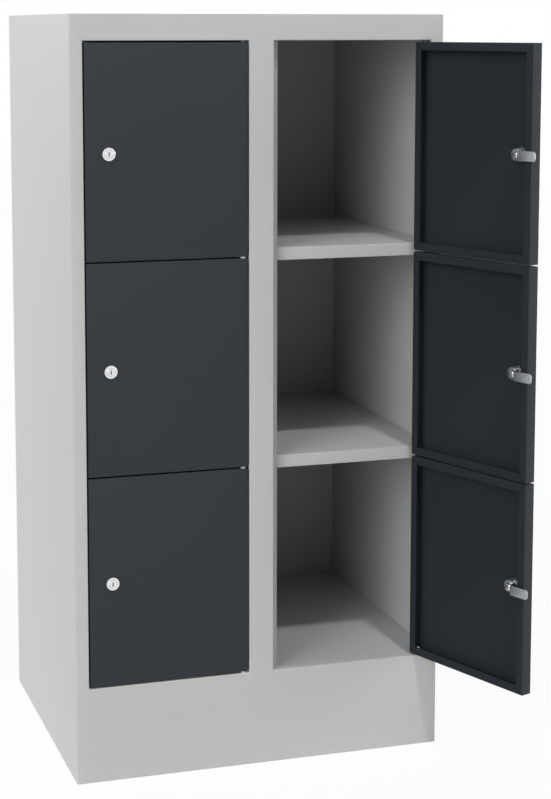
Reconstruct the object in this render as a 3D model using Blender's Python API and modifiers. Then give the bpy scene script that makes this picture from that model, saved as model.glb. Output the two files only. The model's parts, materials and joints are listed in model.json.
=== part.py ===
"""Compartment locker: two columns of three hinged steel doors in a folded sheet body.

The model stands on Z = 0 and faces -Y. Its origin lies on the underside of the plinth's
foot, at the middle of the width. The left doors are closed and the right ones stand open.
"""
import math

import bmesh
import bpy
from mathutils import Matrix, Vector

MM = 0.001
OBJECT_NAME = "compartment_locker"

# Body
WIDTH = 600 * MM
DEPTH = 500 * MM
HEIGHT = 1190 * MM
SHEET = 1 * MM
SEAT = 0.3 * MM
OVERRUN = 5 * MM
BEND_RADIUS = 2 * MM
BEND_STEPS = 3

# Front frame
SIDE_STILE = 20 * MM
CENTRE_STILE = 40 * MM
TOP_RAIL = 40 * MM
PLINTH = 151.5 * MM
FOOT_RETURN = 20 * MM
HINGE_RETURN = 18 * MM
STOP_LIP = 12 * MM
REAR_RETURN = 15 * MM
FLOOR_FLANGE = 15 * MM
CLEAT_LEG = 15 * MM
TOP_FLANGE = 18 * MM

# Shelves
SHELF_FLANGE = 20 * MM
SHELF_ABOVE_GAP = 11.3 * MM
TONGUE_WIDTH = 5 * MM
TONGUE_THICKNESS = 1 * MM

# Doors
TIERS = 3
DOOR_DEPTH = 19 * MM
DOOR_SIDE_GAP = 2.3 * MM
DOOR_GAP = 3 * MM
DOOR_LIP = 13 * MM
DOOR_BEND = 1.2 * MM
DOOR_CORNER_CUT = 3 * MM
DOOR_OPEN = math.radians(110)

# Pivots
PIVOT_FROM_STILE = 9 * MM
PIVOT_INSET = 5.5 * MM
SWING_CLEARANCE = 0.5 * MM
PIN_RADIUS = 2.25 * MM
PIN_CLEARANCE = 0.3 * MM
PIN_RISE = 8.5 * MM
PIN_DROP = 14 * MM
BOSS_RADIUS = 4.25 * MM
BOSS_CLEARANCE = 0.25 * MM
RIVET_RADIUS = 4 * MM
RIVET_HEIGHT = 1.2 * MM

# Cam locks
LOCK_FROM_STILE = 38.7 * MM
LOCK_DROP = 2 * MM
FACE_RADIUS = 10.2 * MM
FACE_THICKNESS = 1.8 * MM
FACE_BEVEL = 0.6 * MM
BODY_RADIUS = 9 * MM
LOCK_CLEARANCE = 0.3 * MM
PLUG_RADIUS = 6.4 * MM
PLUG_PROUD = 0.5 * MM
KEYWAY_WIDTH = 1.8 * MM
KEYWAY_LENGTH = 7 * MM
KEYWAY_DEPTH = 6 * MM
NUT_ACROSS_FLATS = 22 * MM
NUT_THICKNESS = 3 * MM
NUT_TURN = math.radians(-10)
CAM_BEHIND_LIP = 1.5 * MM
CAM_THICKNESS = 2.5 * MM
CAM_WIDTH = 15 * MM
CAM_HUB_WIDTH = 18 * MM
CAM_TAIL = 13 * MM
CAM_REACH = 50 * MM
CAM_CRANK = 14.5 * MM
CAM_CRANK_START = 10.5 * MM
CAM_CRANK_END = 18 * MM
CAM_TIP_CUT = 3 * MM
DRIVE_SQUARE = 7 * MM
SCREW_RADIUS = 2 * MM
SCREW_DEPTH = 6 * MM
SCREW_HEAD_FLATS = 10.4 * MM
SCREW_HEAD = 4.8 * MM
WASHER_RADIUS = 7 * MM
WASHER_THICKNESS = 0.8 * MM

# Facets
ROUND_STEPS = 16
FACE_STEPS = 24

# Places worked out from the sizes above
FRONT = -FOOT_RETURN / 2
BACK = FRONT + DEPTH
COLUMN = WIDTH / 2
OPENING_WIDTH = COLUMN - SIDE_STILE - CENTRE_STILE / 2
OPENING_TOP = HEIGHT - TOP_RAIL
DOOR_WIDTH = OPENING_WIDTH - 2 * DOOR_SIDE_GAP
DOOR_HEIGHT = (OPENING_TOP - PLINTH - (TIERS + 1) * DOOR_GAP) / TIERS
DOOR_PITCH = DOOR_HEIGHT + DOOR_GAP
PIVOT_Y = FRONT + PIVOT_INSET
HINGE_EDGE = PIVOT_FROM_STILE - DOOR_SIDE_GAP
SWING_RADIUS = math.hypot(HINGE_EDGE, DOOR_DEPTH - PIVOT_INSET)
STOP_Y = PIVOT_Y + SWING_RADIUS + SWING_CLEARANCE
BACK_PANEL_OUTER = BACK - SHEET - SEAT
BACK_PANEL_INNER = BACK_PANEL_OUTER - SHEET
WALL_IN = WIDTH / 2 - SHEET
CAM_FRONT = STOP_Y + SHEET + CAM_BEHIND_LIP
CAM_HUB_FRONT = CAM_FRONT - CAM_CRANK
CAM_HUB_BACK = CAM_HUB_FRONT + CAM_THICKNESS
LOCK_FROM_PIVOT = OPENING_WIDTH - PIVOT_FROM_STILE - LOCK_FROM_STILE
LOCK_HEIGHT = DOOR_HEIGHT / 2 - LOCK_DROP
PIN_HOLE = PIN_RADIUS + PIN_CLEARANCE
HOUSING_END = CAM_HUB_FRONT - SEAT

COLUMN_STARTS = {"left": -COLUMN, "right": 0}
REST_SWING = {"left": 0, "right": DOOR_OPEN}
REST_CAM = {"left": -math.pi / 2, "right": 0}
TIER_NAMES = ("lower", "middle", "upper")


def clear_scene():
    for item in list(bpy.data.objects):
        bpy.data.objects.remove(item, do_unlink=True)


def new_collection(name):
    collection = bpy.data.collections.new(name)
    bpy.context.scene.collection.children.link(collection)
    return collection


def new_finish(name, colour, roughness, metallic):
    finish = bpy.data.materials.new(name)
    finish.use_nodes = True
    shader = finish.node_tree.nodes["Principled BSDF"]
    shader.inputs["Base Color"].default_value = (*colour, 1)
    shader.inputs["Roughness"].default_value = roughness
    shader.inputs["Metallic"].default_value = metallic
    return finish


def add_object(name, mesh, finish=None):
    """A part with a finish goes with the model, one without goes with the cutters."""
    item = bpy.data.objects.new(name, mesh)
    if finish:
        if not mesh.materials:
            mesh.materials.append(finish)
        PARTS.objects.link(item)
    else:
        item.hide_render = True
        item.display_type = "WIRE"
        CUTTERS.objects.link(item)
    return item


def mesh_of(name, bm, smooth=False):
    mesh = bpy.data.meshes.new(name)
    bm.to_mesh(mesh)
    bm.free()
    if smooth:
        mesh.shade_smooth()
        mesh.set_sharp_from_angle(angle=math.radians(30))
    return mesh


def add_empty(name, place, parent=None):
    empty = bpy.data.objects.new(name, None)
    empty.location = place
    empty.parent = parent
    PARTS.objects.link(empty)
    return empty


def solidify(item, thickness=SHEET):
    modifier = item.modifiers.new("Sheet", "SOLIDIFY")
    modifier.thickness = thickness
    modifier.offset = -1
    modifier.use_even_offset = True


def combine(item, other, operation="DIFFERENCE"):
    modifier = item.modifiers.new(operation.title(), "BOOLEAN")
    modifier.operation = operation
    modifier.solver = "EXACT"
    modifier.object = other


def box_mesh(name, low, high):
    low = Vector(low)
    high = Vector(high)
    bm = bmesh.new()
    place = Matrix.Translation((low + high) / 2) @ Matrix.Diagonal((*(high - low), 1))
    bmesh.ops.create_cube(bm, size=1, matrix=place)
    return mesh_of(name, bm)


def box_cutter(name, low, high):
    return add_object(name, box_mesh(name, low, high))


def rod_mesh(name, radius, low, high, sides=ROUND_STEPS):
    """Round or polygonal rod along Z."""
    bm = bmesh.new()
    place = Matrix.Translation((0, 0, (low + high) / 2))
    bmesh.ops.create_cone(
        bm, cap_ends=True, segments=sides, radius1=radius, radius2=radius, depth=high - low, matrix=place
    )
    return mesh_of(name, bm, smooth=sides > 6)


def turned(name, profile, steps, finish=None):
    """Solid of revolution about Z from (radius, height) points, top to bottom."""
    closed = profile[0] == profile[-1]
    bm = bmesh.new()
    points = [bm.verts.new((radius, 0, height)) for radius, height in profile[: -1 if closed else None]]
    if closed:
        points.append(points[0])
    for first, second in zip(points, points[1:]):
        bm.edges.new((first, second))
    item = add_object(name, mesh_of(name, bm), finish)
    screw = item.modifiers.new("Turn", "SCREW")
    screw.steps = steps
    screw.render_steps = steps
    screw.use_merge_vertices = True
    screw.merge_threshold = 0.01 * MM
    screw.use_smooth_shade = False
    return item


def rounded_line(corners, radius=BEND_RADIUS):
    """Open line whose inner corners are replaced by arcs of the bend radius."""
    line = [Vector(corners[0])]
    for before, corner, after in zip(corners, corners[1:], corners[2:]):
        corner = Vector(corner)
        into = (corner - Vector(before)).normalized()
        out = (Vector(after) - corner).normalized()
        turn = into.angle_signed(out)
        setback = radius * math.tan(abs(turn) / 2)
        start = corner - into * setback
        side = Vector((into.y, -into.x)) * math.copysign(1, turn)
        centre = start + side * radius
        for step in range(BEND_STEPS + 1):
            spin = Matrix.Rotation(-turn * step / BEND_STEPS, 2)
            line.append(centre + spin @ (start - centre))
    line.append(Vector(corners[-1]))
    return line


def folded_sheet(name, corners, along, start, end, finish, radius=BEND_RADIUS):
    """Sheet folded along a line and drawn out along an axis, its outer face on the line's right.

    Corners are in the two other axes, in cyclic order, as seen with the axis towards the viewer.
    """
    bm = bmesh.new()
    spin = {"X": 1, "Y": 2, "Z": 0}[along]
    points = []
    for u, v in rounded_line(corners, radius):
        spot = (u, v, end)
        points.append(bm.verts.new(spot[-spin:] + spot[:-spin] if spin else spot))
    travel = Vector([start - end if axis == along else 0 for axis in "XYZ"])
    edges = [bm.edges.new(pair) for pair in zip(points, points[1:])]
    drawn = bmesh.ops.extrude_edge_only(bm, edges=edges)["geom"]
    moved = [element for element in drawn if isinstance(element, bmesh.types.BMVert)]
    bmesh.ops.translate(bm, verts=moved, vec=travel)
    item = add_object(name, mesh_of(name, bm, smooth=True), finish)
    solidify(item)
    return item


def tray(name, low, high, finish, open_ends=False):
    """Sheet with flanges turned down along its four edges, or only along its two sides."""
    bm = bmesh.new()
    low = Vector(low)
    high = Vector(high)
    place = Matrix.Translation((low + high) / 2) @ Matrix.Diagonal((*(high - low), 1))
    bmesh.ops.create_cube(bm, size=1, matrix=place)
    dropped = [
        face for face in bm.faces
        if face.normal.z < -0.5 or (open_ends and abs(face.normal.y) > 0.5)
    ]
    bmesh.ops.delete(bm, geom=dropped, context="FACES_ONLY")
    loose = [edge for edge in bm.edges if not edge.link_faces]
    bmesh.ops.delete(bm, geom=loose, context="EDGES")
    folds = [edge for edge in bm.edges if len(edge.link_faces) == 2]
    bmesh.ops.bevel(
        bm, geom=folds, offset=BEND_RADIUS, segments=BEND_STEPS, affect="EDGES", profile=0.5
    )
    item = add_object(name, mesh_of(name, bm, smooth=True), finish)
    solidify(item)
    return item


def gap_height(index):
    """Middle height of the gap above door number index, counted from the bottom."""
    return PLINTH + index * DOOR_PITCH + DOOR_HEIGHT + DOOR_GAP * 1.5


def pivot_x(side):
    return COLUMN_STARTS[side] + SIDE_STILE + OPENING_WIDTH - PIVOT_FROM_STILE


def make_side_panels():
    """Side walls with their front stiles; only the left one has the lip that the locks catch."""
    edge = WIDTH / 2
    inner = edge - SIDE_STILE
    left = [
        (-edge + REAR_RETURN, BACK),
        (-edge, BACK),
        (-edge, FRONT),
        (-inner, FRONT),
        (-inner, STOP_Y),
        (-inner + STOP_LIP, STOP_Y),
    ]
    right = [
        (inner, FRONT + HINGE_RETURN),
        (inner, FRONT),
        (edge, FRONT),
        (edge, BACK),
        (edge - REAR_RETURN, BACK),
    ]
    relief_low = inner - STOP_LIP - OVERRUN
    relief_high = inner + BEND_RADIUS + SEAT
    for side, sign, line in (("left", -1, left), ("right", 1, right)):
        panel = folded_sheet(f"side_panel_{side}", line, "Z", 0, HEIGHT, GREY)
        ends = sorted((sign * relief_low, sign * relief_high))
        low = (ends[0], FRONT + SHEET + SEAT / 2, HEIGHT - SHEET - SEAT)
        high = (ends[1], STOP_Y + SHEET + OVERRUN, HEIGHT + OVERRUN)
        combine(panel, box_cutter(f"side_panel_{side}_relief", low, high))


def make_centre():
    """Channel-shaped post between the columns, and the partition wall behind it."""
    half = CENTRE_STILE / 2
    post = [
        (-half, FRONT + HINGE_RETURN),
        (-half, FRONT),
        (half, FRONT),
        (half, STOP_Y),
        (half + STOP_LIP, STOP_Y),
    ]
    folded_sheet("centre_post", post, "Z", PLINTH + SEAT, OPENING_TOP - SEAT, GREY)
    low = (-SHEET / 2, FRONT + SHEET + SEAT, PLINTH + SEAT)
    high = (SHEET / 2, BACK_PANEL_INNER - SEAT, HEIGHT - SHEET - SEAT)
    partition = add_object("centre_partition", box_mesh("centre_partition", low, high), GREY)
    notch_low = (-OVERRUN, FRONT - OVERRUN, OPENING_TOP - SEAT)
    notch_high = (OVERRUN, FRONT + HINGE_RETURN + SEAT, HEIGHT + OVERRUN)
    combine(partition, box_cutter("partition_notch", notch_low, notch_high))


def make_base():
    """Plinth and floor folded from one sheet, notched round the stiles, on side cleats."""
    wall = WALL_IN - SEAT
    profile = [
        (BACK_PANEL_INNER - SEAT, PLINTH - FLOOR_FLANGE),
        (BACK_PANEL_INNER - SEAT, PLINTH),
        (FRONT, PLINTH),
        (FRONT, 0),
        (FRONT + FOOT_RETURN, 0),
    ]
    base = folded_sheet("base_pan", profile, "X", -wall, wall, GREY)
    inner = WIDTH / 2 - SIDE_STILE
    for side, sign, lip in (("left", -1, STOP_LIP), ("right", 1, 0)):
        depth = STOP_Y - SEAT if lip else FRONT + HINGE_RETURN + SEAT
        ends = sorted((sign * (inner - SEAT), sign * (WIDTH / 2 + OVERRUN)))
        low = (ends[0], FRONT - OVERRUN, -OVERRUN)
        high = (ends[1], depth, PLINTH + OVERRUN)
        combine(base, box_cutter(f"base_stile_notch_{side}", low, high))
    low = (-WIDTH / 2 - OVERRUN, STOP_Y - BEND_RADIUS, -OVERRUN)
    high = (-inner + STOP_LIP + SEAT, STOP_Y + SHEET + SEAT, PLINTH + OVERRUN)
    combine(base, box_cutter("base_lip_notch", low, high))
    drill_frame_pivots(base, PLINTH)
    under = PLINTH - SHEET - SEAT
    front = STOP_Y + SHEET + SEAT
    back = BACK_PANEL_INNER - BEND_RADIUS - 2 * SEAT
    for side, sign in (("left", -1), ("right", 1)):
        cleat = [(under, sign * (wall - CLEAT_LEG)), (under, sign * wall), (under - CLEAT_LEG, sign * wall)]
        folded_sheet(f"floor_cleat_{side}", cleat[::sign], "Y", front, back, GREY)


def drill_frame_pivots(item, height):
    """Holes for the pivot stems in a flat return of the frame, one per column."""
    for side in COLUMN_STARTS:
        name = f"{item.name}_pivot_hole_{side}"
        hole = add_object(name, rod_mesh(name, PIN_HOLE, -OVERRUN, OVERRUN))
        hole.location = (pivot_x(side), PIVOT_Y, height)
        combine(item, hole)


def make_top():
    """Front rail over the doors, and the top panel with a flange down each side wall."""
    reach = WIDTH / 2 - SIDE_STILE - SEAT
    profile = [
        (FRONT, HEIGHT),
        (FRONT, OPENING_TOP),
        (FRONT + HINGE_RETURN, OPENING_TOP),
    ]
    rail = folded_sheet("top_rail", profile, "X", -reach, reach, GREY)
    drill_frame_pivots(rail, OPENING_TOP)
    wall = WALL_IN - SEAT
    low = (-wall, FRONT + SHEET + 2 * SEAT, HEIGHT - TOP_FLANGE)
    high = (wall, BACK_PANEL_INNER - SEAT, HEIGHT)
    tray("top_panel", low, high, GREY, open_ends=True)


def make_back():
    wall = WALL_IN - 2 * SEAT
    low = (-wall, BACK_PANEL_INNER, SEAT)
    high = (wall, BACK_PANEL_OUTER, HEIGHT - SEAT)
    add_object("back_panel", box_mesh("back_panel", low, high), GREY)


def make_shelf(side, index):
    """Shelf tray, notched round the lock-side lip, with a tongue that carries the pivot."""
    name = f"shelf_{side}_{TIER_NAMES[index]}"
    start = COLUMN_STARTS[side]
    walls = {"left": (-WALL_IN, -SHEET / 2), "right": (SHEET / 2, WALL_IN)}[side]
    middle = gap_height(index)
    top = middle + SHELF_ABOVE_GAP
    low = (walls[0] + SEAT, STOP_Y, top - SHELF_FLANGE)
    high = (walls[1] - SEAT, BACK_PANEL_INNER - SEAT, top)
    shelf = tray(name, low, high, GREY)
    lip_end = start + SIDE_STILE + STOP_LIP + SEAT
    notch_low = (start - OVERRUN, STOP_Y - OVERRUN, top - SHELF_FLANGE - OVERRUN)
    notch_high = (lip_end, STOP_Y + SHEET + SEAT, top + OVERRUN)
    combine(shelf, box_cutter(f"{name}_notch", notch_low, notch_high))
    spot = pivot_x(side)
    tip = PIVOT_Y + PIN_RADIUS + 2 * SEAT
    tongue_low = (spot - TONGUE_WIDTH / 2, tip, middle - TONGUE_THICKNESS / 2)
    tongue_high = (spot + TONGUE_WIDTH / 2, STOP_Y + SHEET / 2, middle + TONGUE_THICKNESS / 2)
    combine(shelf, box_cutter(f"{name}_tongue", tongue_low, tongue_high), "UNION")


def make_pivot(side, name, middle, rise, drop, riveted):
    """Moulded boss in a door gap with its pin; a riveted end passes through the frame's return."""
    half = DOOR_GAP / 2 - BOSS_CLEARANCE
    up = [(0, half + rise), (PIN_RADIUS, half + rise), (PIN_RADIUS, half), (BOSS_RADIUS, half)]
    down = [(BOSS_RADIUS, -half), (PIN_RADIUS, -half), (PIN_RADIUS, -half - drop), (0, -half - drop)]
    through = half + SHEET + 2 * SEAT
    stem = [
        (BOSS_RADIUS, -half),
        (PIN_RADIUS, -half),
        (PIN_RADIUS, -through),
        (RIVET_RADIUS, -through),
        (RIVET_RADIUS, -through - RIVET_HEIGHT),
        (0, -through - RIVET_HEIGHT),
    ]
    profile = up + (stem if riveted else down)
    item = turned(f"pivot_{side}_{name}", profile, ROUND_STEPS, NYLON)
    item.location = (pivot_x(side), PIVOT_Y, middle)
    if not riveted:
        low = (-TONGUE_WIDTH / 2 - SEAT, PIN_RADIUS + SEAT, -TONGUE_THICKNESS / 2 - SEAT)
        high = (TONGUE_WIDTH / 2 + SEAT, BOSS_RADIUS + OVERRUN, TONGUE_THICKNESS / 2 + SEAT)
        slot = box_cutter(f"pivot_{side}_{name}_slot", low, high)
        slot.parent = item
        combine(item, slot)
    return item


def make_pivots(side):
    make_pivot(side, "foot", PLINTH + DOOR_GAP / 2, PIN_RISE, 0, True)
    for index in range(TIERS - 1):
        make_pivot(side, TIER_NAMES[index], gap_height(index), PIN_RISE, PIN_DROP, False)
    head = make_pivot(side, "head", OPENING_TOP - DOOR_GAP / 2, PIN_DROP, 0, True)
    head.rotation_euler.x = math.pi


def door_pan_mesh(name):
    """Folded door in its hinge frame: X towards the hinge edge, Y inwards, Z up from its foot."""
    low = Vector((HINGE_EDGE - DOOR_WIDTH, -PIVOT_INSET, 0))
    high = Vector((HINGE_EDGE, DOOR_DEPTH - PIVOT_INSET, DOOR_HEIGHT))
    bm = bmesh.new()
    place = Matrix.Translation((low + high) / 2) @ Matrix.Diagonal((*(high - low), 1))
    bmesh.ops.create_cube(bm, size=1, matrix=place)
    rear = [face for face in bm.faces if face.normal.y > 0.5]
    bmesh.ops.inset_region(bm, faces=rear, thickness=DOOR_LIP, use_even_offset=True)
    bmesh.ops.delete(bm, geom=rear, context="FACES_ONLY")
    bm.normal_update()
    folds = [
        edge for edge in bm.edges
        if len(edge.link_faces) == 2
        and abs(edge.link_faces[0].normal.y - edge.link_faces[1].normal.y) > 0.5
    ]
    bmesh.ops.bevel(bm, geom=folds, offset=DOOR_BEND, segments=2, affect="EDGES", profile=0.5)
    return mesh_of(name, bm, smooth=True)


def cut_hinge_corners(pan, hinge):
    """Corner cuts that let the folded edges clear the pivots."""
    reach = DOOR_CORNER_CUT / math.sqrt(2)
    for end, height in (("foot", 0), ("head", DOOR_HEIGHT)):
        low = (-reach, -PIVOT_INSET - OVERRUN, -reach - OVERRUN)
        high = (reach, DOOR_DEPTH - PIVOT_INSET + OVERRUN, reach + OVERRUN)
        corner = box_cutter(f"{pan.name}_{end}_corner", low, high)
        corner.parent = hinge
        corner.location = (HINGE_EDGE, 0, height)
        corner.rotation_euler.y = -math.pi / 4 if height else math.pi / 4
        combine(pan, corner)


def make_door(side, index):
    tag = f"{side}_{TIER_NAMES[index]}"
    foot = PLINTH + DOOR_GAP + index * DOOR_PITCH
    hinge = add_empty(f"hinge_{tag}", (pivot_x(side), PIVOT_Y, foot))
    hinge.rotation_euler.z = REST_SWING[side]
    pan = add_object(f"door_{tag}", door_pan_mesh(f"door_{tag}"), CHARCOAL)
    pan.parent = hinge
    solidify(pan)
    cut_hinge_corners(pan, hinge)
    for end, height in (("foot", 0), ("head", DOOR_HEIGHT)):
        name = f"door_{tag}_{end}_hole"
        hole = add_object(name, rod_mesh(name, PIN_HOLE, -OVERRUN, OVERRUN))
        hole.parent = hinge
        hole.location.z = height
        combine(pan, hole)
    lock = add_empty(f"lock_{tag}", (-LOCK_FROM_PIVOT, -PIVOT_INSET, LOCK_HEIGHT), hinge)
    outward = (math.pi / 2, 0, 0)
    name = f"door_{tag}_lock_hole"
    bore = add_object(name, rod_mesh(name, BODY_RADIUS + LOCK_CLEARANCE, -OVERRUN, OVERRUN, FACE_STEPS))
    bore.parent = lock
    bore.rotation_euler = outward
    combine(pan, bore)
    make_lock(tag, lock, outward, REST_CAM[side])


def make_lock(tag, lock, outward, cam_angle):
    """Lock body and nut fixed in the door; plug, cam and screw turn together about the lock."""
    end = HOUSING_END - FRONT
    bore = PLUG_RADIUS + LOCK_CLEARANCE
    profile = [
        (bore, SEAT + FACE_THICKNESS),
        (FACE_RADIUS - FACE_BEVEL, SEAT + FACE_THICKNESS),
        (FACE_RADIUS, SEAT + FACE_THICKNESS - FACE_BEVEL),
        (FACE_RADIUS, SEAT),
        (BODY_RADIUS, SEAT),
        (BODY_RADIUS, -end),
        (bore, -end),
        (bore, SEAT + FACE_THICKNESS),
    ]
    housing = turned(f"lock_housing_{tag}", profile, FACE_STEPS, STEEL)
    housing.parent = lock
    housing.rotation_euler = outward

    name = f"lock_nut_{tag}"
    top = -SHEET - SEAT
    radius = NUT_ACROSS_FLATS / 2 / math.cos(math.pi / 6)
    nut = add_object(name, rod_mesh(name, radius, top - NUT_THICKNESS, top, 6), STEEL)
    name = f"{name}_bore"
    thread = BODY_RADIUS + LOCK_CLEARANCE
    nut_bore = add_object(name, rod_mesh(name, thread, top - NUT_THICKNESS - OVERRUN, top + OVERRUN, FACE_STEPS))
    combine(nut, nut_bore)
    for item in (nut, nut_bore):
        item.parent = lock
        item.rotation_euler = (outward[0], NUT_TURN, 0)

    turn = add_empty(f"cam_axis_{tag}", (0, 0, 0), lock)
    turn.rotation_euler.y = cam_angle
    make_plug(tag, turn, outward)
    make_cam(tag, turn)
    make_cam_screw(tag, turn, outward)


def make_plug(tag, turn, outward):
    """Key plug with a square drive at its inner end and a keyway that lies along the cam."""
    shoulder = HOUSING_END - FRONT
    drive_end = CAM_HUB_BACK - FRONT - SEAT
    face = SEAT + FACE_THICKNESS + PLUG_PROUD
    profile = [
        (0, face),
        (PLUG_RADIUS - FACE_BEVEL, face),
        (PLUG_RADIUS, face - FACE_BEVEL),
        (PLUG_RADIUS, -shoulder),
        (0, -shoulder),
    ]
    plug = turned(f"lock_plug_{tag}", profile, FACE_STEPS, BRIGHT_STEEL)
    half = DRIVE_SQUARE / 2
    drive = box_cutter(f"lock_plug_{tag}_drive", (-half, -half, -drive_end), (half, half, -shoulder + SEAT))
    keyway_low = (-KEYWAY_LENGTH / 2, -KEYWAY_WIDTH / 2, face - KEYWAY_DEPTH)
    keyway_high = (KEYWAY_LENGTH / 2, KEYWAY_WIDTH / 2, face + OVERRUN)
    keyway = box_cutter(f"lock_plug_{tag}_keyway", keyway_low, keyway_high)
    name = f"lock_plug_{tag}_screw_hole"
    reach = SCREW_RADIUS + LOCK_CLEARANCE
    low = -drive_end - OVERRUN
    hole = add_object(name, rod_mesh(name, reach, low, SCREW_DEPTH - drive_end, ROUND_STEPS // 2))
    for item in (plug, drive, keyway, hole):
        item.parent = turn
        item.rotation_euler = outward
    combine(plug, drive, "UNION")
    combine(plug, keyway)
    combine(plug, hole)


def make_cam(tag, turn):
    """Cranked cam plate: a round-ended hub on the plug, a step inwards, and a blade with a cut tip."""
    half = CAM_WIDTH / 2
    hub_half = CAM_HUB_WIDTH / 2
    hub = CAM_HUB_FRONT - FRONT
    blade = CAM_FRONT - FRONT
    turns = [math.pi * (0.5 - 2 * step / ROUND_STEPS) for step in range(ROUND_STEPS // 2 + 1)]
    tail = [(CAM_TAIL + hub_half * (math.cos(angle) - 1), hub, hub_half * math.sin(angle)) for angle in turns]
    bm = bmesh.new()
    tail = [bm.verts.new(point) for point in tail]
    start = [bm.verts.new((-CAM_CRANK_START, hub, v)) for v in (-half, half)]
    end = [bm.verts.new((-CAM_CRANK_END, blade, v)) for v in (-half, half)]
    tip_corners = (
        (CAM_REACH - CAM_TIP_CUT, -half),
        (CAM_REACH, CAM_TIP_CUT - half),
        (CAM_REACH, half - CAM_TIP_CUT),
        (CAM_REACH - CAM_TIP_CUT, half),
    )
    tip = [bm.verts.new((-u, blade, v)) for u, v in tip_corners]
    bm.faces.new((*tail, *start))
    bm.faces.new((start[1], start[0], end[0], end[1]))
    bm.faces.new((end[1], end[0], *tip))
    bm.normal_update()
    if bm.faces[:][0].normal.y > 0:
        bmesh.ops.reverse_faces(bm, faces=bm.faces)
    cam = add_object(f"lock_cam_{tag}", mesh_of(f"lock_cam_{tag}", bm), STEEL)
    cam.parent = turn
    solidify(cam, CAM_THICKNESS)
    hole = DRIVE_SQUARE / 2 + LOCK_CLEARANCE
    low = (-hole, hub - OVERRUN, -hole)
    high = (hole, hub + CAM_THICKNESS + OVERRUN, hole)
    square = box_cutter(f"lock_cam_{tag}_square", low, high)
    square.parent = turn
    combine(cam, square)


def make_cam_screw(tag, turn, outward):
    """Hexagon-headed screw and washer that hold the cam on the plug's drive."""
    base = -(CAM_HUB_BACK - FRONT) - SEAT
    inner = base + SCREW_DEPTH
    washer = base - WASHER_THICKNESS
    profile = [
        (0, inner),
        (SCREW_RADIUS, inner),
        (SCREW_RADIUS, base),
        (WASHER_RADIUS, base),
        (WASHER_RADIUS, washer),
        (0, washer),
    ]
    screw = turned(f"cam_screw_{tag}", profile, ROUND_STEPS, BRIGHT_STEEL)
    radius = SCREW_HEAD_FLATS / 2 / math.cos(math.pi / 6)
    name = f"cam_screw_{tag}_head"
    head = add_object(name, rod_mesh(name, radius, washer - SCREW_HEAD, washer + SEAT, 6))
    combine(screw, head, "UNION")
    for item in (screw, head):
        item.parent = turn
        item.rotation_euler = outward


def build():
    make_side_panels()
    make_centre()
    make_base()
    make_top()
    make_back()
    for side in COLUMN_STARTS:
        make_pivots(side)
        for index in range(TIERS - 1):
            make_shelf(side, index)
        for index in range(TIERS):
            make_door(side, index)


clear_scene()
PARTS = new_collection(OBJECT_NAME)
CUTTERS = new_collection("cutters")
GREY = new_finish("light_grey_paint", (0.53, 0.53, 0.52), 0.45, 0)
CHARCOAL = new_finish("charcoal_paint", (0.045, 0.047, 0.052), 0.5, 0)
STEEL = new_finish("plated_steel", (0.55, 0.56, 0.57), 0.35, 1)
BRIGHT_STEEL = new_finish("bright_steel", (0.75, 0.75, 0.76), 0.25, 1)
NYLON = new_finish("white_nylon", (0.8, 0.8, 0.8), 0.4, 0)
build()
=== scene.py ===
import json
import math

import bmesh
import bpy
from mathutils import Matrix, Vector


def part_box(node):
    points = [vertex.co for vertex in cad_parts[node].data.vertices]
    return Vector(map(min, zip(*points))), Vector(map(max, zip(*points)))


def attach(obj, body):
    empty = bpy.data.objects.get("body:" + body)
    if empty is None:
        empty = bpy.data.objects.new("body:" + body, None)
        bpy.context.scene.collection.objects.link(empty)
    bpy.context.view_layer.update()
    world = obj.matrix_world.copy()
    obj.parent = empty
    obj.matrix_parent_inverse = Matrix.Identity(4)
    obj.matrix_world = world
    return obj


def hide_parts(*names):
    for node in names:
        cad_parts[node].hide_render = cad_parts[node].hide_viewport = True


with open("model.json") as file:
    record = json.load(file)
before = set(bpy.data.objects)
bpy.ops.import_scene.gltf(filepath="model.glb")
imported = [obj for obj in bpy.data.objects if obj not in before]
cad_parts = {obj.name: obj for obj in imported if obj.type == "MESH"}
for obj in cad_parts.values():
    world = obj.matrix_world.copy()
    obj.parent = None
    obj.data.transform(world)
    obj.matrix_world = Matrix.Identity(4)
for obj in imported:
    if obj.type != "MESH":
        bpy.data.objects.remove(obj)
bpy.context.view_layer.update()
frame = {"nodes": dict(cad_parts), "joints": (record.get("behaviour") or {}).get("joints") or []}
bpy.context.scene.view_settings.view_transform = "Standard"

# Camera
# The photograph is taken from the front left, from just below the locker's top edge. The camera is
# tilted down a little and its lens shifted down, so that the upright edges stay nearly parallel.
MM = 0.001
PHOTO_WIDTH = 551
PHOTO_HEIGHT = 799
PRINCIPAL_X = 254.3
PRINCIPAL_Y = 260
FOCAL_PIXELS = 1887.7
SENSOR = 36
CAMERA_PLACE = (-883.6 * MM, -2777 * MM, 1169.5 * MM)
TILT_DOWN = math.radians(7.02)
TURN_RIGHT = math.radians(17.48)
lens = bpy.data.cameras.new("photo_camera")
lens.sensor_width = SENSOR
lens.lens = SENSOR * FOCAL_PIXELS / PHOTO_HEIGHT
lens.shift_x = (PHOTO_WIDTH / 2 - PRINCIPAL_X) / PHOTO_HEIGHT
lens.shift_y = (PRINCIPAL_Y - PHOTO_HEIGHT / 2) / PHOTO_HEIGHT
camera = bpy.data.objects.new("photo_camera", lens)
camera.location = CAMERA_PLACE
camera.rotation_euler = (math.pi / 2 - TILT_DOWN, 0, -TURN_RIGHT)
bpy.context.scene.collection.objects.link(camera)
bpy.context.scene.camera = camera


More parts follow.
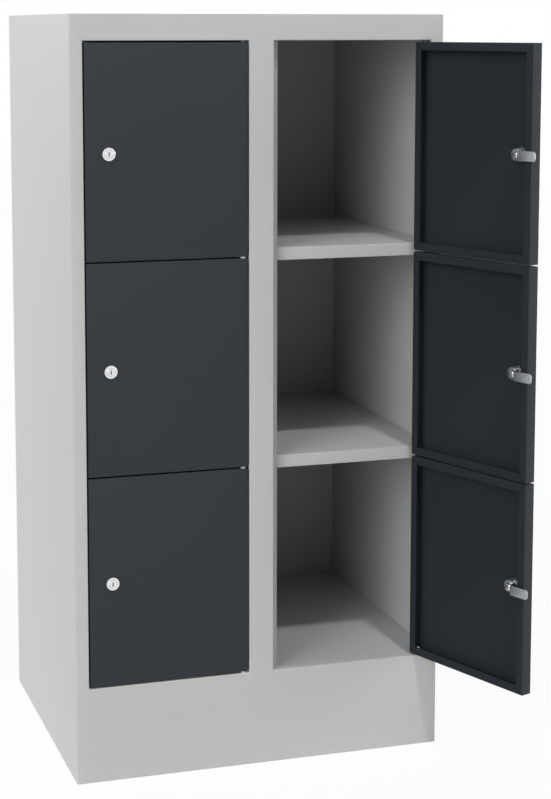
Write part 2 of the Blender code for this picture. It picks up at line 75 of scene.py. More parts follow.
# Body
# The locker's shell is 1 mm sheet, folded and welded: side walls, stiles, centre post, top rail
# and plinth make one flush front, and the plinth's top fold runs back as the floor.
class Value:
    """What a node gives out. Numbers that change over a surface take Python's own operators."""

    def __init__(self, finish, socket):
        self.finish = finish
        self.socket = socket

    def maths(self, operation, first, second):
        return self.finish.add("Math", {"operation": operation}, {0: first, 1: second})

    def __add__(self, other):
        return self.maths("ADD", self, other)

    def __sub__(self, other):
        return self.maths("SUBTRACT", self, other)

    def __rsub__(self, other):
        return self.maths("SUBTRACT", other, self)

    def __mul__(self, other):
        return self.maths("MULTIPLY", self, other)

    __radd__ = __add__
    __rmul__ = __mul__


class Finish:
    """A material with its shader, and one way to add a node to it."""

    def __init__(self, name, sockets):
        self.material = bpy.data.materials.new(name)
        self.material.use_nodes = True
        self.tree = self.material.node_tree
        self.shader = self.tree.nodes["Principled BSDF"]
        self.place = self.add("TexCoord", {}, {}, "Object")
        self.set(sockets)

    def add(self, kind, settings, inputs, output=0):
        node = self.tree.nodes.new("ShaderNode" + kind)
        for name, setting in settings.items():
            setattr(node, name, setting)
        for name, given in inputs.items():
            self.feed(node.inputs[name], given)
        return Value(self, node.outputs[output])

    def feed(self, socket, given):
        if isinstance(given, Value):
            self.tree.links.new(given.socket, socket)
        else:
            socket.default_value = given

    def set(self, sockets):
        for name, given in sockets.items():
            self.feed(self.shader.inputs[name], given)

    def noise(self, grains_per_metre, detail, stretch=(1, 1, 1)):
        spot = self.add("Mapping", {}, {"Vector": self.place, "Scale": stretch})
        return self.add("TexNoise", {}, {"Vector": spot, "Scale": grains_per_metre, "Detail": detail})

    def blend(self, share, low, high):
        return self.add(
            "Mix", {"data_type": "RGBA"}, {"Factor": share, "A": (*low, 1), "B": (*high, 1)}, "Result"
        )

    def bump(self, height, depth):
        return self.add("Bump", {}, {"Height": height, "Distance": depth, "Strength": 1}, "Normal")


NOISE_MIDDLE = 0.5
CLOUDS_PER_METRE = 4
PEEL_PER_METRE = 420
GRAIN_PER_METRE = 2600
PEEL_SHARE = 0.8
PEEL_DEPTH = 0.04 * MM
GRAIN_GLOSS = 0.12
CLOUD_GLOSS = 0.06


def powder_coat(name, low, high, sheen, roughness):
    """Powder coating: a faint cloudiness, a slow orange peel and a fine grain."""
    paint = Finish(name, {"IOR": 1.5, "Specular IOR Level": sheen})
    cloud = paint.noise(CLOUDS_PER_METRE, detail=3)
    peel = paint.noise(PEEL_PER_METRE, detail=1)
    grain = paint.noise(GRAIN_PER_METRE, detail=1)
    rough = roughness + (grain - NOISE_MIDDLE) * GRAIN_GLOSS + (cloud - NOISE_MIDDLE) * CLOUD_GLOSS
    paint.set({
        "Base Color": paint.blend(cloud, low, high),
        "Roughness": rough,
        "Normal": paint.bump(peel * PEEL_SHARE + grain * (1 - PEEL_SHARE), PEEL_DEPTH),
    })
    return paint.material


# Corners within WELD merge, and places within TOUCHING count as one. An edge runs along an axis if
# ALONG of its length does, and a face looks along one if FACING of its normal does.
WELD = 0.001 * MM
TOUCHING = 0.01 * MM
ALONG = 0.999
FACING = 0.5
SMOOTH_ANGLE = math.radians(40)


def deselect():
    bpy.ops.object.select_all(action="DESELECT")


def take_up(*pieces):
    """Selects these pieces alone and takes the last of them in hand."""
    deselect()
    for piece in pieces:
        piece.select_set(True)
    bpy.context.view_layer.objects.active = pieces[-1]


def fix_place():
    """Writes the place, turn and size of the piece in hand into its mesh."""
    bpy.ops.object.transform_apply(location=True, rotation=True, scale=True)


def new_box(name, low, high):
    """A box between two corners, its place in its mesh, open in edit mode."""
    deselect()
    centre = [(a + b) / 2 for a, b in zip(low, high)]
    bpy.ops.mesh.primitive_cube_add(size=1, location=centre)
    box = bpy.context.object
    box.name = name
    box.scale = [b - a for a, b in zip(low, high)]
    fix_place()
    bpy.ops.object.mode_set(mode="EDIT")
    return box


def pick(kind, test):
    """Selects the faces or edges of the piece in hand that pass a test."""
    bpy.ops.mesh.select_mode(type=kind)
    bpy.ops.mesh.select_all(action="DESELECT")
    cage = bmesh.from_edit_mesh(bpy.context.object.data)
    cage.normal_update()
    for element in cage.faces if kind == "FACE" else cage.edges:
        if test(element):
            element.select_set(True)
    bmesh.update_edit_mesh(bpy.context.object.data)


def middle(edge):
    return (edge.verts[0].co + edge.verts[1].co) / 2


def runs(edge, axis):
    """Whether an edge runs along one axis: 0, 1 or 2."""
    line = edge.verts[1].co - edge.verts[0].co
    return abs(line[axis]) > ALONG * line.length


def near(a, b):
    return abs(a - b) < TOUCHING


def slice_at(axis, place):
    """Cuts the whole piece in hand along a plane square to an axis."""
    bpy.ops.mesh.select_all(action="SELECT")
    spot = [0, 0, 0]
    square = [0, 0, 0]
    spot[axis] = place
    square[axis] = 1
    bpy.ops.mesh.bisect(plane_co=spot, plane_no=square)


def pull(offset):
    """Draws the chosen edges out as new sheet."""
    bpy.ops.mesh.extrude_region_move(TRANSFORM_OT_translate={"value": offset})


def drop_faces(test):
    pick("FACE", test)
    bpy.ops.mesh.delete(type="FACE")


def finish_mesh():
    """Merges what meets, turns the faces outward and leaves edit mode."""
    bpy.ops.mesh.select_all(action="SELECT")
    bpy.ops.mesh.remove_doubles(threshold=WELD)
    bpy.ops.mesh.normals_make_consistent(inside=False)
    bpy.ops.object.mode_set(mode="OBJECT")


def apply_step(piece, kind, settings):
    """Puts one modifier on a piece and applies it."""
    step = piece.modifiers.new(kind, kind)
    for name, setting in settings.items():
        setattr(step, name, setting)
    take_up(piece)
    bpy.ops.object.modifier_apply(modifier=step.name)


def thicken(piece, thickness):
    """Gives a sheet its thickness, inward from its faces."""
    apply_step(piece, "SOLIDIFY", {"thickness": thickness, "offset": -1, "use_even_offset": True})


def join_to(piece, other):
    take_up(other, piece)
    bpy.ops.object.join()


def soften(piece, angle=SMOOTH_ANGLE):
    take_up(piece)
    bpy.ops.object.shade_smooth_by_angle(angle=angle)


def paint_with(piece, material):
    piece.data.materials.clear()
    piece.data.materials.append(material)


SHEET = 1 * MM
BEND = 2 * MM
FOLD_ANGLE = math.radians(30)
REAR_RETURN = 15 * MM
FOOT_RETURN = 20 * MM
left_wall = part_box("side_panel_left")
right_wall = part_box("side_panel_right")
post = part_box("centre_post")
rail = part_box("top_rail")
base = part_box("base_pan")
front, back = left_wall[0].y, left_wall[1].y
height = left_wall[1].z
half_width = right_wall[1].x
opening_foot, opening_head = base[1].z, rail[0].z
hinge_return = rail[1].y
stop_front = post[1].y - SHEET
post_left, post_right = post[0].x, -post[0].x
lip = post[1].x - post_right
stile_left = left_wall[1].x - lip
stile_right = right_wall[0].x
lip_roots = (stile_left, post_right)


def in_opening(spot):
    across = stile_left < spot.x < post_left or post_right < spot.x < stile_right
    return across and opening_foot < spot.z < opening_head


def on_rim(edge):
    """Whether an edge of the front is open, round an opening or along the top."""
    spot = middle(edge)
    return edge.is_boundary and near(spot.y, front) and opening_foot - TOUCHING < spot.z


body = new_box("locker_body", (-half_width, front, 0), (half_width, back, height))
drop_faces(lambda face: face.normal.y > FACING or abs(face.normal.z) > FACING)
for place in (stile_left, post_left, post_right, stile_right):
    slice_at(0, place)
for place in (opening_foot, opening_head):
    slice_at(2, place)
drop_faces(lambda face: face.normal.y < -FACING and in_opening(face.calc_center_median()))

pick("EDGE", lambda edge: on_rim(edge) and not near(middle(edge).z, height))
pull((0, hinge_return - front, 0))
pick("EDGE", lambda edge: runs(edge, 2) and near(middle(edge).y, hinge_return)
     and any(near(middle(edge).x, root) for root in lip_roots))
pull((0, stop_front - hinge_return, 0))
pull((lip, 0, 0))
for sign in (-1, 1):
    pick("EDGE", lambda edge: edge.is_boundary and runs(edge, 2) and near(middle(edge).y, back)
         and middle(edge).x * sign > 0)
    pull((-sign * REAR_RETURN, 0, 0))
pick("EDGE", lambda edge: edge.is_boundary and runs(edge, 0) and near(middle(edge).z, 0)
     and near(middle(edge).y, front))
pull((0, FOOT_RETURN, 0))
pick("EDGE", lambda edge: not edge.is_boundary and not runs(edge, 1)
     and edge.calc_face_angle(0) > FOLD_ANGLE)
bpy.ops.mesh.bevel(offset=BEND, segments=4, affect="EDGES")
finish_mesh()
thicken(body, SHEET)

floor_low = (base[0].x, hinge_return, opening_foot - SHEET)
floor_sheet = new_box("locker_floor", floor_low, (base[1].x, base[1].y, opening_foot))
bpy.ops.object.mode_set(mode="OBJECT")
join_to(body, floor_sheet)
soften(body)

LIGHT_GREY_LOW = (0.50, 0.50, 0.49)
LIGHT_GREY_HIGH = (0.53, 0.53, 0.52)
light_grey = powder_coat(
    "light_grey_powder_coat", LIGHT_GREY_LOW, LIGHT_GREY_HIGH, sheen=0.2, roughness=0.42
)
paint_with(body, light_grey)
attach(body, "carcass")
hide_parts("side_panel_left", "side_panel_right", "centre_post", "top_rail", "base_pan")

# Inner sheets and the top
# The partition, the back, the top panel with its side flanges and the cleats under the floor are
# cut from the same sheet, welded in and painted with the body. Their frame shapes stay.
for name in ("centre_partition", "back_panel", "top_panel", "floor_cleat_left", "floor_cleat_right"):
    paint_with(frame["nodes"][name], light_grey)

# Shelves
# Each shelf is a tray of the same sheet, turned upside down and welded in. Its front flange stands
# level with the stop lip, and a small tongue reaches forward from it to hold a pivot.
SHELF_BEND = 1.5 * MM
TONGUE_WIDTH = 5 * MM
SEAM = 0.3 * MM


def gap_level(side, tier):
    """Middle height of the gap over a door."""
    above = {"lower": "middle", "middle": "upper"}[tier]
    return (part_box(f"door_{side}_{tier}")[1].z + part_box(f"door_{side}_{above}")[0].z) / 2


def make_tongue(side, tier):
    """The strip between two doors that carries their pivot."""
    pivot_low, pivot_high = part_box(f"pivot_{side}_{tier}")
    centre = (pivot_low.x + pivot_high.x) / 2
    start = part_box(f"shelf_{side}_{tier}")[0].y
    gap = gap_level(side, tier)
    tongue = new_box(
        f"shelf_{side}_{tier}_tongue",
        (centre - TONGUE_WIDTH / 2, start, gap - SHEET / 2),
        (centre + TONGUE_WIDTH / 2, stop_front + SHEET / 2, gap + SHEET / 2),
    )
    bpy.ops.object.mode_set(mode="OBJECT")
    return tongue


def make_shelf(side, tier, lip_end):
    """A tray with its front left corner notched round the stop lip, and its tongue."""
    name = f"shelf_{side}_{tier}"
    low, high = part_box(name)
    shelf = new_box(f"{name}_sheet", (low.x, stop_front, low.z), high)
    drop_faces(lambda face: face.normal.z < -FACING)
    pick("EDGE", lambda edge: not edge.is_boundary)
    bpy.ops.mesh.bevel(offset=SHELF_BEND, segments=3, affect="EDGES")
    notch_x = lip_end + SEAM
    notch_y = stop_front + SHEET + SEAM
    slice_at(0, notch_x)
    slice_at(1, notch_y)

    def in_notch(face):
        spot = face.calc_center_median()
        return spot.x < notch_x and spot.y < notch_y

    drop_faces(in_notch)
    finish_mesh()
    thicken(shelf, SHEET)
    join_to(shelf, make_tongue(side, tier))
    soften(shelf)
    paint_with(shelf, light_grey)
    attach(shelf, "carcass")
    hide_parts(name)


for side, lip_end in (("left", stile_left + lip), ("right", post_right + lip)):
    for tier in ("lower", "middle"):
        make_shelf(side, tier, lip_end)

# Doors
# A door is one charcoal sheet, folded back along its four edges and in again as a lip, with open
# mitres where the lips meet. The hinge side's corners are cut off to clear the pivots. The inner
# side takes a copy of the coat with less sheen, as painted shade that darkens it.
DOOR_LIP = 13 * MM
DOOR_BEND = 0.9 * MM
DOOR_FOLD_ANGLE = math.radians(60)
CORNER_CUT = 3 * MM
MITRE_SLIT = 0.5 * MM
MITRE_REACH = 3 * DOOR_LIP
# At its upper and lower edges the sheet is drawn this much further than the frame's door.
EDGE_ROLL = 0.2 * MM
PIN_HOLE = 2.55 * MM
LOCK_HOLE = 9.3 * MM
DRILL_LENGTH = 12 * MM
DRILL_SIDES = 48
UPRIGHT = (0, 0, 0)
INWARD = (math.pi / 2, 0, 0)
OPEN = math.radians(110)
doors = [(side, tier) for side in ("left", "right") for tier in ("lower", "middle", "upper")]
hinges = {joint["child"]: Vector(joint["pos_m"]) for joint in frame["joints"]}
door_hinge = hinges["door_left_lower"]
door_low, door_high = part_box("door_left_lower")
lock_low, lock_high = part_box("lock_housing_left_lower")
lock_spot = Vector((
    (lock_low.x + lock_high.x) / 2 - door_hinge.x,
    door_low.y - door_hinge.y,
    (lock_low.z + lock_high.z) / 2 - door_hinge.z,
))


def make_door_sheet():
    """The door in its own hinge frame: X towards the hinge edge, Y inward, Z up from its foot."""
    low = Vector((door_low.x, door_low.y, door_low.z - EDGE_ROLL)) - door_hinge
    high = Vector((door_high.x, door_high.y, door_high.z + EDGE_ROLL)) - door_hinge
    sheet = new_box("door_sheet", low, high)
    pick("FACE", lambda face: face.normal.y > FACING)
    bpy.ops.mesh.inset(thickness=DOOR_LIP, use_even_offset=True)
    bpy.ops.mesh.delete(type="FACE")
    for x in (low.x, high.x):
        for z in (low.z, high.z):
            cut_mitre(x, z, (low + high) / 2, high.y)
    pick("EDGE", lambda edge: not edge.is_boundary and not runs(edge, 1)
         and edge.calc_face_angle(0) > DOOR_FOLD_ANGLE)
    bpy.ops.mesh.bevel(offset=DOOR_BEND, segments=3, affect="EDGES")
    for z in (low.z, high.z):
        outward = Vector((1, 0, math.copysign(1, z - (low.z + high.z) / 2)))
        cut_place = Vector((high.x, 0, z)) - outward * CORNER_CUT / 2
        bpy.ops.mesh.select_all(action="SELECT")
        bpy.ops.mesh.bisect(plane_co=cut_place, plane_no=outward, clear_outer=True)
    finish_mesh()
    thicken(sheet, SHEET)
    return sheet


def cut_mitre(x, z, centre, rear):
    """Opens the seam where two lips meet, along the diagonal from a corner of the door."""
    inward = Vector((math.copysign(1, centre.x - x), 0, math.copysign(1, centre.z - z)))
    across = Vector((-inward.z, 0, inward.x)).normalized()
    corner = Vector((x, rear, z))
    for shift in (-MITRE_SLIT / 2, MITRE_SLIT / 2):
        pick("FACE", lambda face: face.normal.y > FACING)
        bpy.ops.mesh.bisect(plane_co=corner + across * shift, plane_no=across)
    drop_faces(lambda face: face.normal.y > FACING and on_seam(face, corner, across))


def on_seam(face, corner, across):
    away = face.calc_center_median() - corner
    return abs(away.dot(across)) < MITRE_SLIT / 2 and away.length < MITRE_REACH


def combine(piece, tool, operation):
    """Cuts, joins or trims a piece with another, which is used up."""
    apply_step(piece, "BOOLEAN", {"operation": operation, "solver": "EXACT", "object": tool})
    bpy.data.objects.remove(tool)


def drill(piece, spot, radius, turn):
    """Cuts a round hole through sheet or a thin plate."""
    deselect()
    bpy.ops.mesh.primitive_cylinder_add(
        vertices=DRILL_SIDES, radius=radius, depth=DRILL_LENGTH, location=spot, rotation=turn
    )
    combine(piece, bpy.context.object, "DIFFERENCE")


def hang(pattern, name, side, tier, body_name, spot=(0, 0, 0), turn=0):
    """A copy of a door piece, put on its own hinge: shut on the left, open on the right."""
    copy = pattern.copy()
    copy.data = pattern.data.copy()
    copy.name = f"{name}_{side}_{tier}"
    bpy.context.scene.collection.objects.link(copy)
    take_up(copy)
    swing = Matrix.Rotation(OPEN if side == "right" else 0, 4, "Z")
    place = Matrix.Translation(hinges[f"door_{side}_{tier}"]) @ swing @ Matrix.Translation(spot)
    copy.matrix_world = place @ Matrix.Rotation(turn, 4, "Y")
    fix_place()
    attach(copy, body_name)
    return copy


door_sheet = make_door_sheet()
drill(door_sheet, (0, 0, 0), PIN_HOLE, UPRIGHT)
drill(door_sheet, (0, 0, door_high.z - door_low.z), PIN_HOLE, UPRIGHT)
drill(door_sheet, lock_spot, LOCK_HOLE, INWARD)
soften(door_sheet)

CHARCOAL_LOW = (0.0180, 0.0222, 0.0270)
CHARCOAL_HIGH = (0.0205, 0.0252, 0.0302)
charcoal = powder_coat("charcoal_powder_coat", CHARCOAL_LOW, CHARCOAL_HIGH, sheen=0.3, roughness=0.6)
# Painted shade: the same charcoal with less sheen and more roughness, for the door's inner side.
painted_shade_charcoal = powder_coat(
    "charcoal_inner_side_painted_shade", CHARCOAL_LOW, CHARCOAL_HIGH, sheen=0.1, roughness=0.7
)
paint_with(door_sheet, charcoal)
door_sheet.data.materials.append(painted_shade_charcoal)
bpy.ops.object.mode_set(mode="EDIT")
pick("FACE", lambda face: face.normal.y > FACING)
door_sheet.active_material_index = len(door_sheet.data.materials) - 1
bpy.ops.object.material_slot_assign()
bpy.ops.object.mode_set(mode="OBJECT")
for side, tier in doors:
    door = f"door_{side}_{tier}"
    sheet = hang(door_sheet, "door_sheet", side, tier, door)
    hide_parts(door)
bpy.data.objects.remove(door_sheet)

# Lock bodies
# Each door has a key-turned cam lock with a cast, bright-plated body: a round shroud against the
# door and a threaded barrel through it. All pieces of the lock are modelled about its axis, from
# the door's outer face inwards, with the cam thrown.
SHROUD_RADIUS = 10.2 * MM
SHROUD_PROUD = 2.1 * MM
SHROUD_EASE = 0.7 * MM
BARREL_RADIUS = 9 * MM
BORE_RADIUS = 6.5 * MM
THREAD_PITCH = 0.75 * MM
THREAD_DEPTH = 0.3 * MM
# The clearance between lock pieces that seat on each other, and the rounding of their edges.
SEAT = 0.3 * MM
EASE = 0.3 * MM
ROUND_SIDES = 64
LOCK_SMOOTH_ANGLE = math.radians(35)
UNLOCKED = -math.pi / 2
barrel_end = lock_high.y - door_low.y
nut_start, nut_end = (corner.y - door_low.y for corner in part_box("lock_nut_left_lower"))


def turned(name, profile, sides=ROUND_SIDES):
    """A piece drawn out ring by ring along the depth, from pairs of radius and depth."""
    deselect()
    closed = profile[0] == profile[-1]
    radius, depth = profile[0]
    bpy.ops.mesh.primitive_circle_add(
        vertices=sides, radius=radius, fill_type="NOTHING" if closed else "NGON",
        location=(0, depth, 0), rotation=INWARD,
    )
    piece = bpy.context.object
    piece.name = name
    fix_place()
    bpy.ops.object.mode_set(mode="EDIT")
    bpy.ops.mesh.select_mode(type="EDGE")
    bpy.ops.mesh.select_all(action="SELECT")
    for next_radius, next_depth in profile[1:]:
        pull((0, next_depth - depth, 0))
        grow = next_radius / radius
        bpy.ops.transform.resize(value=(grow, 1, grow), center_override=(0, next_depth, 0))
        radius, depth = next_radius, next_depth
    finish_mesh()
    return piece


NICKEL = (0.78, 0.78, 0.79)
MOTTLE_PER_METRE = 220
MOTTLE_DARKER = 0.94
MOTTLE_GLOSS = 0.08
BRUSHING_PER_METRE = 900
BRUSHED = (1, 1, 0.15)


def plating(name, colour, roughness, grain_depth):
    """Plating over cast, pressed or turned metal, faintly mottled and brushed."""
    metal = Finish(name, {"Metallic": 1})
    mottle = metal.noise(MOTTLE_PER_METRE, detail=3)
    brushing = metal.noise(BRUSHING_PER_METRE, detail=2, stretch=BRUSHED)
    metal.set({
        "Base Color": metal.blend(mottle, [MOTTLE_DARKER * c for c in colour], colour),
        "Roughness": roughness + (mottle - NOISE_MIDDLE) * MOTTLE_GLOSS,
        "Normal": metal.bump(brushing, grain_depth),
    })
    return metal.material


def fit_to_doors(pattern, name, node, carrier, metal):
    """A copy of a lock piece in each door. Where the door is shut, its cam hangs down, unlocked."""
    for side, tier in doors:
        tag = f"{side}_{tier}"
        turn = UNLOCKED if carrier == "cam" and side == "left" else 0
        copy = hang(pattern, name, side, tier, f"{carrier}_{tag}", lock_spot, turn)
        soften(copy, LOCK_SMOOTH_ANGLE)
        paint_with(copy, metal)
        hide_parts(f"{node}_{tag}")
    bpy.data.objects.remove(pattern)


thread = []
place = nut_end + THREAD_PITCH
while place < barrel_end - 2 * THREAD_PITCH:
    thread += [(BARREL_RADIUS - THREAD_DEPTH, place), (BARREL_RADIUS, place + THREAD_PITCH / 2)]
    place += THREAD_PITCH
shroud = turned("lock_shroud", [
    (BORE_RADIUS, EASE - SHROUD_PROUD),
    (BORE_RADIUS + EASE / 2, -SHROUD_PROUD),
    (SHROUD_RADIUS - SHROUD_EASE, -SHROUD_PROUD),
    (SHROUD_RADIUS - SHROUD_EASE / 4, SHROUD_EASE / 4 - SHROUD_PROUD),
    (SHROUD_RADIUS, SHROUD_EASE - SHROUD_PROUD),
    (SHROUD_RADIUS, -SEAT),
    (BARREL_RADIUS, -SEAT),
    (BARREL_RADIUS, nut_end),
    *thread,
    (BARREL_RADIUS, barrel_end - EASE),
    (BARREL_RADIUS - EASE, barrel_end),
    (BORE_RADIUS, barrel_end),
    (BORE_RADIUS, EASE - SHROUD_PROUD),
])
nickel = plating("bright_nickel", NICKEL, roughness=0.16, grain_depth=0.004 * MM)
fit_to_doors(shroud, "lock_shroud", "lock_housing", "door", nickel)

# Lock nuts
# A thin hexagon nut of plated steel, painted dark as painted shade, holds each lock from inside,
# against the door's skin. Its corners show round the barrel.
NUT_FLATS = 22 * MM
NUT_TURN = math.radians(20)
FINE_EASE = 0.12 * MM
EASED_ANGLE = math.radians(30)
# Painted shade: far darker than plated steel, for the dark reflection that the nut's face shows.
SHADED_STEEL = (0.17, 0.175, 0.185)


def hexagon(flats):
    """The corner radius of a hexagon, from its width across the flats."""
    return flats / math.sqrt(3)


def ease_edges(piece, width):
    """Rounds every sharp edge of a piece a little."""
    apply_step(piece, "BEVEL", {
        "width": width, "segments": 2, "limit_method": "ANGLE", "angle_limit": EASED_ANGLE
    })


nut = turned("lock_nut", [
    (hexagon(NUT_FLATS) - EASE, nut_start),
    (hexagon(NUT_FLATS), nut_start + EASE),
    (hexagon(NUT_FLATS), nut_end - EASE),
    (hexagon(NUT_FLATS) - EASE, nut_end),
], sides=6)
drill(nut, (0, nut_start, 0), BARREL_RADIUS + EASE, INWARD)
ease_edges(nut, FINE_EASE)
take_up(nut)
nut.rotation_euler.y = -NUT_TURN
fix_place()
painted_shade_steel = plating("painted_shade_steel", SHADED_STEEL, roughness=0.5, grain_depth=0.006 * MM)
fit_to_doors(nut, "lock_ring_nut", "lock_nut", "door", painted_shade_steel)

# Key plugs
# The key turns a plated plug in the body. Its face stands a little proud of the shroud, with a
# keyway that has a ward on each side, and its inner end is a square drive for the cam.
PLUG_RADIUS = 6.4 * MM
PLUG_PROUD = 2.6 * MM
PLUG_EASE = 0.35 * MM
KEYWAY_HALF = 0.9 * MM
KEYWAY_REACH = 3.5 * MM
KEYWAY_DEPTH = 6 * MM
KEYWAY_FRONT = -2 * PLUG_PROUD
WARD = 0.5 * MM
WARD_FRONT = -2.5 * PLUG_PROUD
DRIVE_HALF = 3.5 * MM
CAM_THICKNESS = 2.5 * MM
hub_front = barrel_end + SEAT
hub_back = hub_front + CAM_THICKNESS


def solid_box(name, low, high):
    box = new_box(name, low, high)
    finish_mesh()
    return box


plug = turned("lock_plug", [
    (PLUG_RADIUS - PLUG_EASE, -PLUG_PROUD),
    (PLUG_RADIUS - PLUG_EASE / 4, PLUG_EASE / 4 - PLUG_PROUD),
    (PLUG_RADIUS, PLUG_EASE - PLUG_PROUD),
    (PLUG_RADIUS, barrel_end),
])
drive = solid_box(
    "drive", (-DRIVE_HALF, barrel_end - EASE, -DRIVE_HALF), (DRIVE_HALF, hub_back - EASE, DRIVE_HALF)
)
combine(plug, drive, "UNION")
keyway = solid_box(
    "keyway", (-KEYWAY_REACH, KEYWAY_FRONT, -KEYWAY_HALF), (KEYWAY_REACH, KEYWAY_DEPTH, KEYWAY_HALF)
)
for start, flank in ((-KEYWAY_REACH / 2, 1), (KEYWAY_REACH / 3, -1)):
    outer = flank * (KEYWAY_HALF + WARD)
    ward = solid_box(
        "ward",
        (start - WARD, WARD_FRONT, min(0, outer)),
        (start + WARD, KEYWAY_DEPTH / 2, max(0, outer)),
    )
    combine(keyway, ward, "UNION")
combine(plug, keyway, "DIFFERENCE")
ease_edges(plug, FINE_EASE)
fit_to_doors(plug, "lock_key_plug", "lock_plug", "cam", nickel)

# Lock cams
# The cam is pressed from zinc-plated steel: a flat blank, rounded at the hub's end, narrowed, cut
# at the tip and cranked inwards. It sits on the plug's square drive and turns with it.
CAM_HALF = 7.5 * MM
HUB_HALF = 9 * MM
NECK_START = 4.5 * MM
CAM_TAIL = 13 * MM
CAM_REACH = 50 * MM
TAIL_STEPS = 12
TIP_CUT = 3 * MM
CRANK_DEPTH = 14.5 * MM
CRANK_START = 10.5 * MM
CRANK_END = 15 * MM
CRANK_BEND = 1.2 * MM
CRANK_ANGLE = math.radians(20)
CUT_PAST = 1 * MM
ZINC = (0.36, 0.375, 0.385)


def make_cam():
    deselect()
    bpy.ops.mesh.primitive_plane_add(
        size=1, location=((CAM_TAIL - CAM_REACH) / 2, hub_front, 0), rotation=INWARD
    )
    blank = bpy.context.object
    blank.name = "lock_cam"
    blank.scale = (CAM_TAIL + CAM_REACH, 2 * HUB_HALF, 1)
    fix_place()
    bpy.ops.object.mode_set(mode="EDIT")
    for place in (NECK_START, CRANK_START, CRANK_END):
        slice_at(0, -place)
    pick("EDGE", lambda edge: runs(edge, 2) and middle(edge).x < -NECK_START - TOUCHING)
    bpy.ops.transform.resize(value=(1, 1, CAM_HALF / HUB_HALF), center_override=(0, hub_front, 0))
    pick("EDGE", lambda edge: runs(edge, 2) and middle(edge).x < -CRANK_START - TOUCHING)
    bpy.ops.transform.translate(value=(0, CRANK_DEPTH, 0))
    for end, cut, steps in ((CAM_TAIL, HUB_HALF - EASE, TAIL_STEPS), (-CAM_REACH, TIP_CUT, 1)):
        pick("EDGE", lambda edge: runs(edge, 2) and near(middle(edge).x, end))
        bpy.ops.mesh.bevel(offset=cut, segments=steps, affect="VERTICES")
    pick("EDGE", lambda edge: runs(edge, 2) and not edge.is_boundary
         and edge.calc_face_angle(0) > CRANK_ANGLE)
    bpy.ops.mesh.bevel(offset=CRANK_BEND, segments=4, affect="EDGES")
    bpy.ops.mesh.select_all(action="SELECT")
    bpy.ops.mesh.remove_doubles(threshold=WELD)
    face_the_door(blank)
    bpy.ops.object.mode_set(mode="OBJECT")
    thicken(blank, CAM_THICKNESS)
    return blank


def face_the_door(blank):
    """Turns an open sheet's faces towards the door, so that its thickness goes inwards."""
    cage = bmesh.from_edit_mesh(blank.data)
    cage.normal_update()
    if sum(face.normal.y * face.calc_area() for face in cage.faces) > 0:
        bpy.ops.mesh.flip_normals()


cam = make_cam()
half = DRIVE_HALF + EASE
square_hole = solid_box("square_hole", (-half, 0, -half), (half, hub_back + CUT_PAST, half))
combine(cam, square_hole, "DIFFERENCE")
ease_edges(cam, EASE)
zinc = plating("zinc_plate", ZINC, roughness=0.42, grain_depth=0.006 * MM)
fit_to_doors(cam, "lock_cam_plate", "lock_cam", "cam", zinc)

# Cam screws
# A plated screw with a hexagon head and a washer under it holds the cam on the plug. The head's
# corners are turned off in a shallow cone.
WASHER_RADIUS = 7 * MM
WASHER_END = 1.1 * MM
HEAD_FLATS = 10.4 * MM
HEAD_END = 5.9 * MM
HEAD_SLOPE = 0.8 * MM
screw = turned("cam_screw", [
    (WASHER_RADIUS - EASE / 2, hub_back + SEAT),
    (WASHER_RADIUS, hub_back + SEAT + EASE / 2),
    (WASHER_RADIUS, hub_back + WASHER_END - EASE / 2),
    (WASHER_RADIUS - EASE / 2, hub_back + WASHER_END),
])
head = turned("head", [
    (hexagon(HEAD_FLATS), hub_back + WASHER_END - EASE),
    (hexagon(HEAD_FLATS), hub_back + HEAD_END),
], sides=6)
crown = turned("crown", [
    (HEAD_FLATS, hub_back),
    (hexagon(HEAD_FLATS) + EASE, hub_back + HEAD_END - HEAD_SLOPE - EASE),
    (HEAD_FLATS / 2 - EASE, hub_back + HEAD_END + EASE),
])
combine(head, crown, "INTERSECT")
combine(screw, head, "UNION")
ease_edges(screw, FINE_EASE)
fit_to_doors(screw, "lock_cam_screw", "cam_screw", "cam", nickel)

# Pivots
# Moulded nylon bushes in the gaps over and under each door, each with the pin that the door turns
# on. They are white; the two under the top rail, which hardly show, are black as painted shade.
WHITE_LOW = (0.74, 0.74, 0.72)
WHITE_HIGH = (0.80, 0.80, 0.79)
# Near black for the two pivots under the top rail: painted shade, where the rail shades them.
SHADE_BLACK_LOW = (0.010, 0.010, 0.011)
SHADE_BLACK_HIGH = (0.014, 0.014, 0.015)
NYLON_CLOUDS_PER_METRE = 300
NYLON_GRAIN_PER_METRE = 1500
NYLON_GRAIN_DEPTH = 0.01 * MM


def moulded_nylon(name, low, high):
    """Nylon as it comes from the mould: an even colour and a fine matt grain."""
    nylon = Finish(name, {"Roughness": 0.4, "IOR": 1.53, "Subsurface Weight": 0.1})
    nylon.set({
        "Base Color": nylon.blend(nylon.noise(NYLON_CLOUDS_PER_METRE, detail=2), low, high),
        "Normal": nylon.bump(nylon.noise(NYLON_GRAIN_PER_METRE, detail=1), NYLON_GRAIN_DEPTH),
    })
    return nylon.material


white_nylon = moulded_nylon("white_nylon", WHITE_LOW, WHITE_HIGH)
# The same nylon, painted near black as painted shade.
painted_shade_nylon = moulded_nylon("painted_shade_nylon", SHADE_BLACK_LOW, SHADE_BLACK_HIGH)
for name, node in frame["nodes"].items():
    if name.startswith("pivot"):
        paint_with(node, painted_shade_nylon if name.endswith("head") else white_nylon)

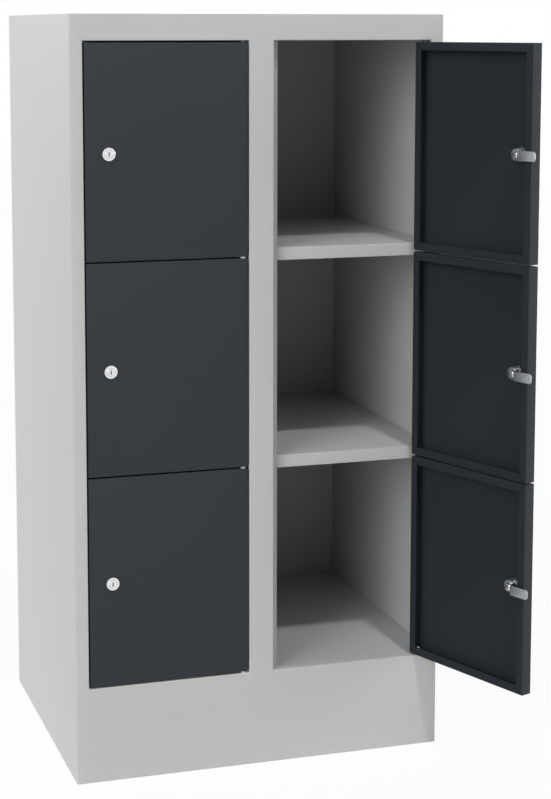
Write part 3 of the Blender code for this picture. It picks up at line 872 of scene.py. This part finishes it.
# Studio
# A white floor and a white surround, as the eye, the plating and the paint's sheen see them. The
# surround gives matt surfaces no light, and the floor gives them what it bounces from the lamps.
FLOOR_SIZE = 20
FLOOR_WHITE = (0.8, 0.8, 0.8, 1)
FLOOR_GLOW = 0.95
SURROUND_ON_MATT = 0
deselect()
bpy.ops.mesh.primitive_plane_add(size=FLOOR_SIZE, location=(0, 0, 0))
ground = bpy.context.object
ground.name = "studio_floor"
pale = Finish("studio_white", {"Base Color": FLOOR_WHITE, "Roughness": 0.9, "Specular IOR Level": 0})
seen = pale.add("LightPath", {}, {}, "Is Camera Ray") * FLOOR_GLOW
for ray in ("Is Glossy Ray", "Is Transmission Ray"):
    seen = seen + pale.add("LightPath", {}, {}, ray)
glow = pale.add("Emission", {}, {"Color": (1, 1, 1, 1), "Strength": 1}, "Emission")
lit = Value(pale, pale.shader.outputs["BSDF"])
mixed = pale.add("MixShader", {}, {0: seen, 1: lit, 2: glow}, "Shader")
pale.feed(pale.tree.nodes["Material Output"].inputs["Surface"], mixed)
paint_with(ground, pale.material)

world = bpy.data.worlds.new("studio")
bpy.context.scene.world = world
world.use_nodes = True
surround = world.node_tree.nodes["Background"]
surround.inputs["Color"].default_value = (1, 1, 1, 1)
rays = world.node_tree.nodes.new("ShaderNodeLightPath")
level = world.node_tree.nodes.new("ShaderNodeMapRange")
level.inputs["To Min"].default_value = 1
level.inputs["To Max"].default_value = SURROUND_ON_MATT
world.node_tree.links.new(rays.outputs["Is Diffuse Ray"], level.inputs["Value"])
world.node_tree.links.new(level.outputs["Result"], surround.inputs["Strength"])


def add_sun(name, azimuth, elevation, strength, spread):
    """Distant light, with angles in degrees. Azimuth 0 is the front and 90 the right."""
    light = bpy.data.lights.new(name, "SUN")
    light.energy = strength
    light.angle = math.radians(spread)
    lamp = bpy.data.objects.new(name, light)
    a, e = math.radians(azimuth), math.radians(elevation)
    source = Vector((math.sin(a) * math.cos(e), -math.cos(a) * math.cos(e), math.sin(e)))
    lamp.rotation_euler = source.to_track_quat("Z", "Y").to_euler()
    bpy.context.scene.collection.objects.link(lamp)


add_sun("key_light", azimuth=2, elevation=61, strength=0.84, spread=4)
add_sun("left_high", azimuth=-60, elevation=30, strength=0.97, spread=40)
add_sun("left_near", azimuth=-45, elevation=20, strength=0.66, spread=30)
add_sun("left_level", azimuth=-45, elevation=0, strength=0.72, spread=30)
add_sun("right_low", azimuth=60, elevation=5, strength=1.13, spread=40)
add_sun("front_high", azimuth=0, elevation=55, strength=0.35, spread=40)
add_sun("rear_left", azimuth=-150, elevation=20, strength=1.38, spread=40)
